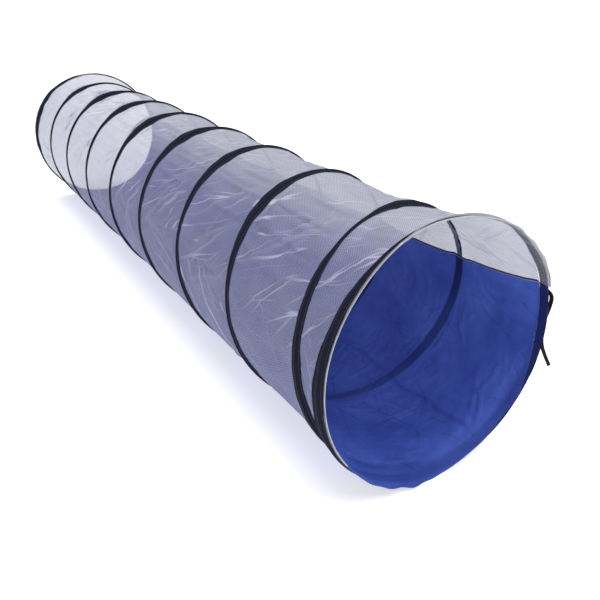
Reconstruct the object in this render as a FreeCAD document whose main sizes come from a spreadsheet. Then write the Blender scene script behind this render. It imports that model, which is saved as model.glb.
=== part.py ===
import FreeCAD, Part
import math
import os

import Sketcher
from FreeCAD import Placement, Rotation, Vector

# Pop-up agility tunnel. The tunnel's axis runs along +Y, from the front opening to the rear.
# +X is to the right of somebody who looks into the front opening, and +Z is up.
# The origin is on the floor, under the middle of the tunnel's length.
#
# Angles round the tunnel are counted from the bottom, towards -X (the left of the front
# opening), so 90 is the left side, 180 the top and -90 the right side.

SHEET_NAME = "Dimensions"

# name, value (mm, degrees or a count), meaning
DRIVING_DIMENSIONS = [
    ("ring_radius", 305.0, "outside of the casing on the two end rings"),
    ("turn_radius", 292.0, "outside of the casing on the helix turns"),
    ("turn_pitch", 331.0, "distance from one turn to the next"),
    ("turn_count", 8, "turns between the two end rings"),
    ("wire_radius", 1.6, "spring steel wire"),
    ("bore_clearance", 0.25, "radial play of the wire in its casing"),
    ("casing_width", 20.0, "width of the black casing tape"),
    ("casing_depth", 6.4, "thickness of the casing with the wire in it"),
    ("fabric_thickness", 1.0, "netting and nylon"),
    ("piece_gap", 0.5, "gap between pieces that move apart"),
    ("skin_gap", 0.7, "gap between the casing and the fabric inside it"),
    ("flare_length", 30.0, "over which the fabric widens from the turns to an end ring"),
    ("edge_lip", 5.5, "width of the trim in front of an end ring's casing"),
    ("lip_recess", 1.0, "how far the trim stays inside the casing's outside"),
    ("seam_width", 8.0, "width of a seam tape"),
    ("seam_thickness", 0.8, "thickness of a seam tape"),
    ("seam_gap", 0.2, "gap between a seam tape and the fabric"),
    ("rest_flat_depth", 0.6, "how far an end ring's casing is pressed flat on the floor"),
    ("rest_flat_span", 80.0, "length of the tool that presses the flat"),
    ("floor_angle", 163.0, "part of the circumference that is nylon floor"),
    ("floor_roll", -28.5, "where the middle of the nylon floor is, from the bottom"),
    ("tie_width", 10.0, "flat tie tape"),
    ("tie_thickness", 1.2, "flat tie tape"),
    ("tie_setback", 21.0, "middle of the tie tape behind the front edge"),
]

# Sizes that follow from the driving dimensions, as spreadsheet formulas.
DERIVED_DIMENSIONS = [
    ("ring_axis_height", "ring_radius - rest_flat_depth"),
    ("turn_axis_height", "turn_radius"),
    ("ring_middle", "edge_lip + piece_gap + casing_width / 2"),
    ("hem_length", "edge_lip + piece_gap + casing_width"),
    ("helix_start", "ring_middle + casing_width + piece_gap"),
    ("tunnel_length", "2 * helix_start + turn_count * turn_pitch"),
    ("ring_fabric_radius", "ring_radius - casing_depth - skin_gap"),
    ("turn_fabric_radius", "turn_radius - casing_depth - skin_gap"),
    ("turns_per_piece", "1 - piece_gap / (2 * pi * turn_radius)"),
    ("seam_half_angle", "90 / pi * seam_width / turn_fabric_radius"),
    ("floor_start", "floor_roll - floor_angle / 2"),
    ("floor_end", "floor_roll + floor_angle / 2"),
    ("net_angle", "360 - floor_angle"),
    ("net_roll", "floor_roll + 180"),
]

# The tie tape's route across the tunnel, as (right of the axis, above the floor) in mm:
# sewn to the ring's casing above its widest point, one slack bulge, then down outside the
# ring to a cut end that stands out.
TIE_ROUTE = [
    (292.3, 391.5),
    (307.0, 383.0),
    (316.5, 366.0),
    (315.0, 340.0),
    (309.5, 305.0),
    (311.0, 265.0),
    (318.0, 228.0),
    (338.0, 186.0),
]
TIE_ARC_SHARE = 0.45


doc = FreeCAD.newDocument("pop_up_tunnel")
sheet = doc.addObject("Spreadsheet::Sheet", SHEET_NAME)


def fill_sheet():
    """Write the driving and the derived dimensions, one alias per row."""
    row = 1
    for alias, value, meaning in DRIVING_DIMENSIONS:
        sheet.set(f"A{row}", alias)
        sheet.set(f"B{row}", str(value))
        sheet.set(f"C{row}", meaning)
        sheet.setAlias(f"B{row}", alias)
        row += 1
    doc.recompute()
    for alias, formula in DERIVED_DIMENSIONS:
        sheet.set(f"A{row}", alias)
        sheet.set(f"B{row}", f"={formula}")
        sheet.setAlias(f"B{row}", alias)
        row += 1
        doc.recompute()


def size(alias):
    """A number from the sheet."""
    return float(sheet.get(alias))


def cell(formula):
    """A formula in aliases, with the sheet's name put in front of each alias."""
    aliases = {row[0] for row in DRIVING_DIMENSIONS + DERIVED_DIMENSIONS}
    words = formula.replace("(", "( ").replace(")", " )").split()
    return " ".join(f"{SHEET_NAME}.{word}" if word in aliases else word for word in words)


fill_sheet()
half_length = size("tunnel_length") / 2


# ---------------------------------------------------------------- bodies and sketches


def tunnel_body(label, station, axis_height, roll=0.0):
    """A body whose own Z axis is the tunnel's axis and whose own +Y points to angle roll.

    station is the distance behind the front edge, and axis_height is above the floor,
    both as sheet formulas.
    """
    body = doc.addObject("PartDesign::Body", label)
    body.Label = label
    along_tunnel = Rotation(Vector(1, 0, 0), -90)
    round_tunnel = Rotation(Vector(0, 0, 1), roll)
    body.Placement = Placement(Vector(), along_tunnel * round_tunnel)
    body.setExpression(".Placement.Base.y", cell(f"{station} - tunnel_length / 2"))
    body.setExpression(".Placement.Base.z", cell(axis_height))
    return body


def origin_plane(body, role):
    return next(feature for feature in body.Origin.OriginFeatures if feature.Role == role)


def new_sketch(body, name, role, offset=None):
    """A sketch on one of the body's origin planes, offset along the plane's normal."""
    sketch = body.newObject("Sketcher::SketchObject", name)
    sketch.AttachmentSupport = (origin_plane(body, role), [""])
    sketch.MapMode = "FlatFace"
    if offset is not None:
        sketch.setExpression(".AttachmentOffset.Base.z", cell(offset))
    return sketch


def bind(sketch, constraint, formula):
    """Add a driving constraint whose value is a sheet formula."""
    index = sketch.addConstraint(constraint)
    sketch.setExpression(f"Constraints[{index}]", cell(formula))


def draw_polygon(sketch, corners):
    """Closed polygon with axis-parallel sides. corners are (across, along) sheet formulas."""
    values = [(evaluate(across), evaluate(along)) for across, along in corners]
    count = len(corners)
    first = sketch.GeometryCount
    for index in range(count):
        start = Vector(*values[index], 0)
        end = Vector(*values[(index + 1) % count], 0)
        sketch.addGeometry(Part.LineSegment(start, end), False)
    for index in range(count):
        here = first + index
        following = first + (index + 1) % count
        sketch.addConstraint(Sketcher.Constraint("Coincident", here, 2, following, 1))
    for index, (across, along) in enumerate(corners):
        place = values[index]
        bind(sketch, Sketcher.Constraint("DistanceX", -1, 1, first + index, 1, place[0]), across)
        bind(sketch, Sketcher.Constraint("DistanceY", -1, 1, first + index, 1, place[1]), along)


def draw_circle(sketch, across, radius):
    """Circle on the sketch's horizontal axis."""
    centre = Vector(evaluate(across), 0, 0)
    circle = sketch.addGeometry(Part.Circle(centre, Vector(0, 0, 1), evaluate(radius)), False)
    sketch.addConstraint(Sketcher.Constraint("PointOnObject", circle, 3, -1))
    bind(sketch, Sketcher.Constraint("DistanceX", -1, 1, circle, 3, centre.x), across)
    bind(sketch, Sketcher.Constraint("Radius", circle, evaluate(radius)), radius)


def draw_half_circles(sketch, across, radius):
    """The same circle as two halves, so that a helix of it has two faces and no seam."""
    centre = Vector(evaluate(across), 0, 0)
    circle = Part.Circle(centre, Vector(0, 0, 1), evaluate(radius))
    upper = sketch.addGeometry(Part.ArcOfCircle(circle, 0, math.pi), False)
    lower = sketch.addGeometry(Part.ArcOfCircle(circle, math.pi, 2 * math.pi), False)
    sketch.addConstraint(Sketcher.Constraint("Coincident", upper, 3, lower, 3))
    sketch.addConstraint(Sketcher.Constraint("Coincident", upper, 1, lower, 2))
    sketch.addConstraint(Sketcher.Constraint("Coincident", upper, 2, lower, 1))
    for arc_end in (1, 2, 3):
        sketch.addConstraint(Sketcher.Constraint("PointOnObject", upper, arc_end, -1))
    bind(sketch, Sketcher.Constraint("DistanceX", -1, 1, upper, 3, centre.x), across)
    bind(sketch, Sketcher.Constraint("Radius", upper, evaluate(radius)), radius)


def evaluate(formula):
    """The value of a sheet formula."""
    return float(sheet.evalExpression(cell(formula)))


def draw_shell_section(sketch, radius, thickness, rise, start, end):
    """Outline of a curved strip: part of a ring of the given outer radius.

    rise is how far the ring's centre is above the body's axis, and start and end are
    angles round the tunnel. The sketch's own angles are a quarter turn ahead of them.
    """
    outer = evaluate(radius)
    inner = outer - evaluate(thickness)
    centre = Vector(0, -evaluate(rise), 0)
    first_angle = math.radians(evaluate(start) + 90)
    last_angle = math.radians(evaluate(end) + 90)

    def point(length, angle):
        return centre + Vector(length * math.cos(angle), length * math.sin(angle), 0)

    up = Vector(0, 0, 1)
    outside = sketch.addGeometry(
        Part.ArcOfCircle(Part.Circle(centre, up, outer), first_angle, last_angle), False
    )
    inside = sketch.addGeometry(
        Part.ArcOfCircle(Part.Circle(centre, up, inner), first_angle, last_angle), False
    )
    first_side = sketch.addGeometry(
        Part.LineSegment(point(inner, first_angle), point(outer, first_angle)), False
    )
    last_side = sketch.addGeometry(
        Part.LineSegment(point(inner, last_angle), point(outer, last_angle)), False
    )
    for side, arc_end in ((first_side, 1), (last_side, 2)):
        sketch.addConstraint(Sketcher.Constraint("Coincident", side, 1, inside, arc_end))
        sketch.addConstraint(Sketcher.Constraint("Coincident", side, 2, outside, arc_end))
    sketch.addConstraint(Sketcher.Constraint("Coincident", inside, 3, outside, 3))
    sketch.addConstraint(Sketcher.Constraint("PointOnObject", outside, 3, -2))
    bind(sketch, Sketcher.Constraint("DistanceY", -1, 1, outside, 3, centre.y), f"-1 * ( {rise} )")
    bind(sketch, Sketcher.Constraint("Radius", outside, outer), radius)
    bind(sketch, Sketcher.Constraint("Radius", inside, inner), f"( {radius} ) - {thickness}")
    for side in (first_side, last_side):
        sketch.addConstraint(Sketcher.Constraint("PointOnObject", outside, 3, side))
    for side, angle, formula in (
        (first_side, first_angle, start),
        (last_side, last_angle, end),
    ):
        turn = Sketcher.Constraint("Angle", -1, 1, side, 1, angle)
        bind(sketch, turn, f"( {formula} + 90 ) * 1 deg")


# ---------------------------------------------------------------- kinds of piece


def revolve(body, sketch, angle=None):
    """Turn a section round the tunnel's axis, fully or by a sheet formula about the middle."""
    solid = body.newObject("PartDesign::Revolution", f"{body.Label}_revolution")
    solid.Profile = sketch
    solid.ReferenceAxis = (sketch, ["V_Axis"])
    if angle is None:
        solid.Angle = 360
    else:
        solid.Midplane = True
        solid.setExpression("Angle", cell(f"( {angle} ) * 1 deg"))
    return solid


def wind(body, sketch):
    """Sweep a section along one turn of the helix."""
    solid = body.newObject("PartDesign::AdditiveHelix", f"{body.Label}_helix")
    solid.Profile = sketch
    solid.ReferenceAxis = (sketch, ["V_Axis"])
    solid.Mode = "pitch-turns-angle"
    solid.setExpression("Pitch", cell("turn_pitch"))
    solid.setExpression("Turns", cell("turns_per_piece"))
    return solid


def wire_section(body, outside_radius, draw_round):
    sketch = new_sketch(body, f"{body.Label}_section", "YZ_Plane")
    draw_round(sketch, f"{outside_radius} - casing_depth / 2", "wire_radius")
    return sketch


def casing_section(body, outside_radius, draw_round):
    """Flat tape, with a round bore for the wire."""
    sketch = new_sketch(body, f"{body.Label}_section", "YZ_Plane")
    inside = f"{outside_radius} - casing_depth"
    draw_polygon(
        sketch,
        [
            (inside, "-1 * casing_width / 2"),
            (outside_radius, "-1 * casing_width / 2"),
            (outside_radius, "casing_width / 2"),
            (inside, "casing_width / 2"),
        ],
    )
    draw_round(sketch, f"{outside_radius} - casing_depth / 2", "wire_radius + bore_clearance")
    return sketch


def fabric_strip(label, stations, inset, thickness, start, end):
    """A curved strip of fabric, straight between one station and the next.

    Each station is (distance behind the front edge, outer radius, rise of the centre above
    the turns' axis). inset is how far the strip lies inside that radius.
    """
    body = tunnel_body(label, stations[0][0], "turn_axis_height")
    sketches = []
    for distance, radius, rise in stations:
        offset = f"( {distance} ) - ( {stations[0][0]} )"
        sketch = new_sketch(body, f"{label}_section_{len(sketches) + 1}", "XY_Plane", offset)
        draw_shell_section(sketch, f"{radius} - ( {inset} )", thickness, rise, start, end)
        sketches.append(sketch)
    loft = body.newObject("PartDesign::AdditiveLoft", f"{label}_loft")
    loft.Profile = sketches[0]
    loft.Sections = sketches[1:]
    loft.Ruled = True


def edge_piece(label, end, corners, angle, roll):
    """Part of a turned-in edge: a section, revolved over part of the circumference.

    The section's corners are (radius, distance in from the tunnel's end).
    """
    station = "0" if end == "front" else "tunnel_length"
    body = tunnel_body(label, station, "ring_axis_height", roll)
    inwards = "1" if end == "front" else "-1"
    sketch = new_sketch(body, f"{label}_section", "YZ_Plane")
    draw_polygon(sketch, [(radius, f"{inwards} * ( {depth} )") for radius, depth in corners])
    revolve(body, sketch, angle)


# ---------------------------------------------------------------- the tunnel's pieces


def end_ring(end):
    """Closed wire ring, its casing with a small flat to rest on, and the fabric's edge."""
    station = "ring_middle" if end == "front" else "tunnel_length - ring_middle"

    wire = tunnel_body(f"{end}_ring_wire", station, "ring_axis_height")
    revolve(wire, wire_section(wire, "ring_radius", draw_circle))

    casing = tunnel_body(f"{end}_ring_casing", station, "ring_axis_height")
    revolve(casing, casing_section(casing, "ring_radius", draw_circle))
    press = new_sketch(casing, f"{end}_rest_flat", "YZ_Plane")
    draw_polygon(
        press,
        [
            ("ring_axis_height", "-1 * casing_width"),
            ("ring_axis_height + casing_depth", "-1 * casing_width"),
            ("ring_axis_height + casing_depth", "casing_width"),
            ("ring_axis_height", "casing_width"),
        ],
    )
    flat = casing.newObject("PartDesign::Pocket", f"{end}_rest_flat_cut")
    flat.Profile = press
    flat.Midplane = True
    flat.setExpression("Length", cell("rest_flat_span"))

    inner = "ring_fabric_radius - 2 * fabric_thickness"
    lip_inner = "ring_fabric_radius + skin_gap"
    lip_outer = "ring_radius - lip_recess"
    edge_piece(
        f"{end}_hem_net",
        end,
        [
            (inner, "0"),
            ("ring_fabric_radius", "0"),
            ("ring_fabric_radius", "hem_length"),
            (inner, "hem_length"),
        ],
        "net_angle",
        size("net_roll"),
    )
    edge_piece(
        f"{end}_trim",
        end,
        [(lip_inner, "0"), (lip_outer, "0"), (lip_outer, "edge_lip"), (lip_inner, "edge_lip")],
        "net_angle",
        size("net_roll"),
    )
    edge_piece(
        f"{end}_hem_floor",
        end,
        [
            (inner, "0"),
            (lip_outer, "0"),
            (lip_outer, "edge_lip"),
            ("ring_fabric_radius", "edge_lip"),
            ("ring_fabric_radius", "hem_length"),
            (inner, "hem_length"),
        ],
        "floor_angle",
        size("floor_roll"),
    )


def spring_turn(number):
    """One turn of the wire and of its casing. Turns are counted from the front."""
    station = f"helix_start + {number - 1} * turn_pitch"
    wire = tunnel_body(f"spring_turn_{number}", station, "turn_axis_height")
    wind(wire, wire_section(wire, "turn_radius", draw_half_circles))
    casing = tunnel_body(f"casing_turn_{number}", station, "turn_axis_height")
    wind(casing, casing_section(casing, "turn_radius", draw_half_circles))


def span_stations(number):
    """Where the fabric of one span starts and ends. The end spans widen to the end rings."""
    ring_rise = "ring_axis_height - turn_axis_height"
    stations = [
        (f"helix_start + {number - 1} * turn_pitch", "turn_fabric_radius", "0"),
        (f"helix_start + {number} * turn_pitch - piece_gap", "turn_fabric_radius", "0"),
    ]
    if number == 1:
        stations[0] = ("hem_length + flare_length", "turn_fabric_radius", "0")
        stations.insert(0, ("hem_length + piece_gap", "ring_fabric_radius", ring_rise))
    if number == int(size("turn_count")):
        stations[-1] = ("tunnel_length - hem_length - flare_length", "turn_fabric_radius", "0")
        rear_edge = "tunnel_length - hem_length - piece_gap"
        stations.append((rear_edge, "ring_fabric_radius", ring_rise))
    return stations


def span_fabric(number):
    """Net, floor and the two seam tapes of one span."""
    stations = span_stations(number)
    floor = ("floor_start", "floor_end")
    net = ("floor_end", "floor_start + 360")
    for kind, (start, end) in (("floor_panel", floor), ("net_panel", net)):
        fabric_strip(f"{kind}_{number}", stations, "0", "fabric_thickness", start, end)
    for side, middle in (("left", "floor_end"), ("right", "floor_start")):
        fabric_strip(
            f"seam_{side}_{number}",
            stations,
            "fabric_thickness + seam_gap",
            "seam_thickness",
            f"{middle} - seam_half_angle",
            f"{middle} + seam_half_angle",
        )


def rounded_route(points, share):
    """Straight runs joined by tangent arcs, each as large as its two runs allow."""
    edges = []
    radii = []
    start = points[0]
    for before, corner, after in zip(points, points[1:], points[2:]):
        backwards = (before - corner).normalize()
        forwards = (after - corner).normalize()
        cut = share * min(before.distanceToPoint(corner), corner.distanceToPoint(after))
        half_turn = (math.pi - backwards.getAngle(forwards)) / 2
        radii.append(cut / math.tan(half_turn))
        arc_start = corner + backwards * cut
        arc_end = corner + forwards * cut
        towards_centre = (backwards + forwards).normalize()
        to_centre = radii[-1] / math.cos(half_turn)
        middle = corner + towards_centre * (to_centre - radii[-1])
        edges.append(Part.LineSegment(start, arc_start).toShape())
        edges.append(Part.Arc(arc_start, middle, arc_end).toShape())
        start = arc_end
    edges.append(Part.LineSegment(start, points[-1]).toShape())
    return Part.Wire(edges), radii


def tie_tape():
    """Flat tape, swept along its route at a constant distance behind the front edge."""
    across = size("tie_setback") - half_length
    points = [Vector(right, across, height) for right, height in TIE_ROUTE]
    route, radii = rounded_route(points, TIE_ARC_SHARE)
    half_width = Vector(0, size("tie_width") / 2, 0)
    heading = (points[1] - points[0]).normalize()
    half_thickness = heading.cross(Vector(0, 1, 0)) * (size("tie_thickness") / 2)
    corners = [
        points[0] + half_width * side + half_thickness * face
        for side, face in ((-1, -1), (1, -1), (1, 1), (-1, 1), (-1, -1))
    ]
    sweep = Part.BRepOffsetAPI.MakePipeShell(route)
    sweep.setBiNormalMode(Vector(0, 1, 0))
    sweep.add(Part.makePolygon(corners))
    sweep.build()
    sweep.makeSolid()
    tape = doc.addObject("Part::Feature", "tie_tape")
    tape.Label = "tie_tape"
    tape.Shape = sweep.shape()
    tape.Placement = Placement()
    section = size("tie_width") * size("tie_thickness")
    print(f"tie tape: length {route.Length:.1f} mm, volume over section times length "
          f"{tape.Shape.Volume / (section * route.Length):.4f}")
    print("tie tape radii:", [round(radius, 1) for radius in radii])


for tunnel_end in ("front", "rear"):
    end_ring(tunnel_end)
for turn_number in range(1, int(size("turn_count")) + 1):
    spring_turn(turn_number)
    span_fabric(turn_number)
tie_tape()

doc.recompute()

for item in doc.Objects:
    if "Invalid" in item.State or "Error" in item.State:
        raise RuntimeError(f"{item.Label} did not build: {item.State}")

nodes = [item for item in doc.Objects if item.TypeId == "PartDesign::Body" or item.Label == "tie_tape"]
for node in nodes:
    if node.Shape.isNull() or not node.Shape.isValid() or len(node.Shape.Solids) != 1:
        raise RuntimeError(f"{node.Label} has no single valid solid")

os.makedirs("parts", exist_ok=True)
for node in nodes:
    node.Shape.exportStep(f"parts/{node.Label}.step")
print(len(nodes), "nodes, tunnel length", size("tunnel_length"))
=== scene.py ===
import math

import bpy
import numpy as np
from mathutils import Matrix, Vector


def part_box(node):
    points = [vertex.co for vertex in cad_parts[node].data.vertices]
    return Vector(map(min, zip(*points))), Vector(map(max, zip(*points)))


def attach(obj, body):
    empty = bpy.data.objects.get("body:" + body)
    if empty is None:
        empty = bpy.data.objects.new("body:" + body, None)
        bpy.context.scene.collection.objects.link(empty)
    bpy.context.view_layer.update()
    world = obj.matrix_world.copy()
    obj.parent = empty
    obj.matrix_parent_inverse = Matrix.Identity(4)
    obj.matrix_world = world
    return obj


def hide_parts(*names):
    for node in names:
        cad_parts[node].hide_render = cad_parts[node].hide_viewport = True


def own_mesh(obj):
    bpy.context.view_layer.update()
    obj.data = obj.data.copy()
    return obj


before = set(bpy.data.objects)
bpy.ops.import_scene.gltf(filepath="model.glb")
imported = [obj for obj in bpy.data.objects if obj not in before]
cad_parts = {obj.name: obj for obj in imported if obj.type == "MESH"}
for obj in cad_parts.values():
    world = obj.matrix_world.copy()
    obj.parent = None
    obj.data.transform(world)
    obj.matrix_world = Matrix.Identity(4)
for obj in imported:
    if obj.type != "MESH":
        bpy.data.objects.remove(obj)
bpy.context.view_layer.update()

# Pop-up agility tunnel. Metres, +Z up, the tunnel along +Y, its front opening towards -Y.
#
# Angles round the tunnel are in degrees from the bottom, towards -X (the left of the front
# opening), so 90 is the left side, 180 the top and -90 the right side. The net runs over the
# top from the left seam to the right seam, and the nylon runs along the bottom.

SEED = 20

# -------------------- sizes, from the frame

hem_low, hem_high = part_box("front_hem_net")
rear_hem_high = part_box("rear_hem_net")[1]
ring_low, ring_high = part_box("front_ring_casing")
turn_low, turn_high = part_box("casing_turn_2")
next_turn_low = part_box("casing_turn_3")[0]
panel_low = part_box("net_panel_2")[0]
trim_low, trim_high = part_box("front_trim")
wire_low, wire_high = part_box("spring_turn_2")

TURNS = sum(name.startswith("casing_turn_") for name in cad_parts)
FRONT = hem_low.y
REAR = rear_hem_high.y
HEM = hem_high.y - hem_low.y
TAPE_WIDTH = ring_high.y - ring_low.y
LIP = trim_high.y - trim_low.y
PITCH = next_turn_low.y - turn_low.y
HELIX_START = turn_low.y + TAPE_WIDTH / 2 - PITCH
TURN_RADIUS = (turn_high.x - turn_low.x) / 2
TURN_HEIGHT = (turn_high.z + turn_low.z) / 2
RING_RADIUS = (ring_high.x - ring_low.x) / 2
RING_HEIGHT = ring_high.z - RING_RADIUS
TURN_FABRIC = -panel_low.x
RING_FABRIC = -hem_low.x
WIRE_RADIUS = 0.0016
WIRE_LINE = (wire_high.x - wire_low.x) / 2 - WIRE_RADIUS


def seam_angle(side):
    """Where a lengthwise seam is, from the middle of its narrow CAD tape."""
    low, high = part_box(f"seam_{side}_2")
    middle = (low + high) / 2
    return math.degrees(math.atan2(-middle.x, TURN_HEIGHT - middle.z))


RIGHT_SEAM = seam_angle("right")
LEFT_SEAM = seam_angle("left")
FLOOR_ANGLES = (RIGHT_SEAM, LEFT_SEAM)
NET_ANGLES = (LEFT_SEAM, RIGHT_SEAM + 360)

# The fabric's grid. A cell is about 12 mm each way before it is refined.
FLOOR_CELLS = 66
NET_CELLS = 80
SPAN_CELLS = 27
REFINE = 3

# Nothing is drawn lower than this above the floor.
LOWEST = 0.0003


def cloth_distance(angle):
    """How far round the cloth an angle is from the bottom, in metres."""
    return np.radians(angle) * TURN_FABRIC


def helix_place(turns):
    """Where the helix is along the tunnel after this many turns."""
    return HELIX_START + PITCH * turns


# -------------------- meshes from grids


def grid_mesh(name, points, uvs, wrap_rows=False, wrap_columns=False, normals=None,
              values=None, caps=False):
    """A smooth mesh over a grid of points, rows by columns.

    A wrapped side joins its last line to its first. The UV grid, in metres, then has one more
    line that way. values are point attributes, by name.
    """
    rows, columns = points.shape[:2]
    face_rows = rows - 1 + wrap_rows
    face_columns = columns - 1 + wrap_columns
    i, j = np.meshgrid(np.arange(face_rows), np.arange(face_columns), indexing="ij")
    corners = ((0, 0), (0, 1), (1, 1), (1, 0))
    faces = np.stack([(i + a) % rows * columns + (j + b) % columns for a, b in corners], -1)
    uv_rows = uvs.shape[1]
    uv_index = np.stack([(i + a) * uv_rows + (j + b) for a, b in corners], -1)
    face_list = faces.reshape(-1, 4).tolist()
    if caps:
        face_list.append(list(range(columns)))
        face_list.append(list(range(rows * columns - 1, (rows - 1) * columns - 1, -1)))
    mesh = bpy.data.meshes.new(name)
    mesh.from_pydata(points.reshape(-1, 3), [], face_list)
    mesh.shade_smooth()
    layer = mesh.uv_layers.new(name="UVMap")
    flat_uvs = np.zeros((len(mesh.loops), 2), np.float32)
    flat_uvs[: uv_index.size] = uvs.reshape(-1, 2)[uv_index.ravel()]
    layer.data.foreach_set("uv", flat_uvs.ravel())
    for label, numbers in (values or {}).items():
        attribute = mesh.attributes.new(label, "FLOAT", "POINT")
        attribute.data.foreach_set("value", np.ascontiguousarray(numbers, np.float32).ravel())
    if normals is not None:
        mesh.normals_split_custom_set_from_vertices(normals.reshape(-1, 3))
    return new_object(name, mesh)


def new_object(name, data):
    made = bpy.data.objects.new(name, data)
    bpy.context.scene.collection.objects.link(made)
    return made


def paint(piece, material):
    piece.data.materials.append(material)


def round_point(angle, along, radius, height):
    """A point at an angle round an axis that is height above the floor."""
    turned = np.radians(angle)
    shape = np.broadcast(angle, along, radius, height).shape
    parts = (-radius * np.sin(turned), along + 0 * turned, height - radius * np.cos(turned))
    return np.stack([np.broadcast_to(part, shape) for part in parts], -1)


def on_floor(points):
    """The points, raised where they would lie in the floor."""
    points[..., 2] = np.maximum(points[..., 2], LOWEST)
    return points


def grid_normals(points):
    """Outward unit normals of a tube's grid, whose columns go once round."""
    round_tube = np.roll(points, -1, 1) - np.roll(points, 1, 1)
    along = np.gradient(points, axis=0)
    normals = np.cross(round_tube, along)
    return normals / np.linalg.norm(normals, axis=-1, keepdims=True)


def around(sides):
    """Evenly spaced angles once round, in radians."""
    return [2 * math.pi * step / sides for step in range(sides)]


def uv_grid(first, second):
    """UVs over a grid, from two coordinates that are the same along its rows or columns."""
    return np.stack(np.broadcast_arrays(first, second), -1)


def tube_uvs(walked, across):
    """UVs of a thin tube, from the way along it and where across it each of its columns is."""
    return uv_grid(walked[:, None], np.append(across, across[0]))


def smoothstep(low, high, value):
    share = np.clip((value - low) / (high - low), 0, 1)
    return share * share * (3 - 2 * share)


def wander(turns, waves, seed):
    """Smooth noise of unit size along a line, the same after every whole turn."""
    random = np.random.default_rng(seed)
    total = 0.0 * turns
    for wave in waves:
        total = total + random.normal() * np.sin(2 * math.pi * (wave * turns + random.random()))
    return total / math.sqrt(len(waves) / 2)


def cloth_noise(shape, size_along, size_round, seed):
    """Smooth noise of unit size over the fabric's grid, that joins up round the tube.

    Its bumps are about so many metres long along the tunnel and round it.
    """
    white = np.random.default_rng(seed).normal(size=shape)
    finer = shape[1] / (FLOOR_CELLS + NET_CELLS)
    row_waves = np.fft.fftfreq(shape[0])[:, None] * size_along * SPAN_CELLS * finer / PITCH
    round_cells = shape[1] / (2 * math.pi * TURN_FABRIC)
    column_waves = np.fft.fftfreq(shape[1])[None] * size_round * round_cells
    soft = np.fft.ifft2(np.fft.fft2(white) * np.exp(-(row_waves**2) - column_waves**2)).real
    return soft / soft.std()


# -------------------- camera

# Where the camera is, in metres, and how it is turned, in radians.
CAMERA_RIGHT = -0.8607
CAMERA_BEFORE_FRONT = 0.8796
CAMERA_HEIGHT = 0.9963
CAMERA_YAW = 0.5274
CAMERA_PITCH = 0.4373


def make_camera():
    camera = new_object("camera", bpy.data.cameras.new("camera"))
    camera.location = (CAMERA_RIGHT, FRONT - CAMERA_BEFORE_FRONT, CAMERA_HEIGHT)
    camera.rotation_euler = (math.pi / 2 - CAMERA_PITCH, 0, -CAMERA_YAW)
    camera.data.lens = 40
    camera.data.sensor_width = 36
    camera.data.clip_end = 900
    bpy.context.scene.camera = camera


make_camera()


# -------------------- materials


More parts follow.
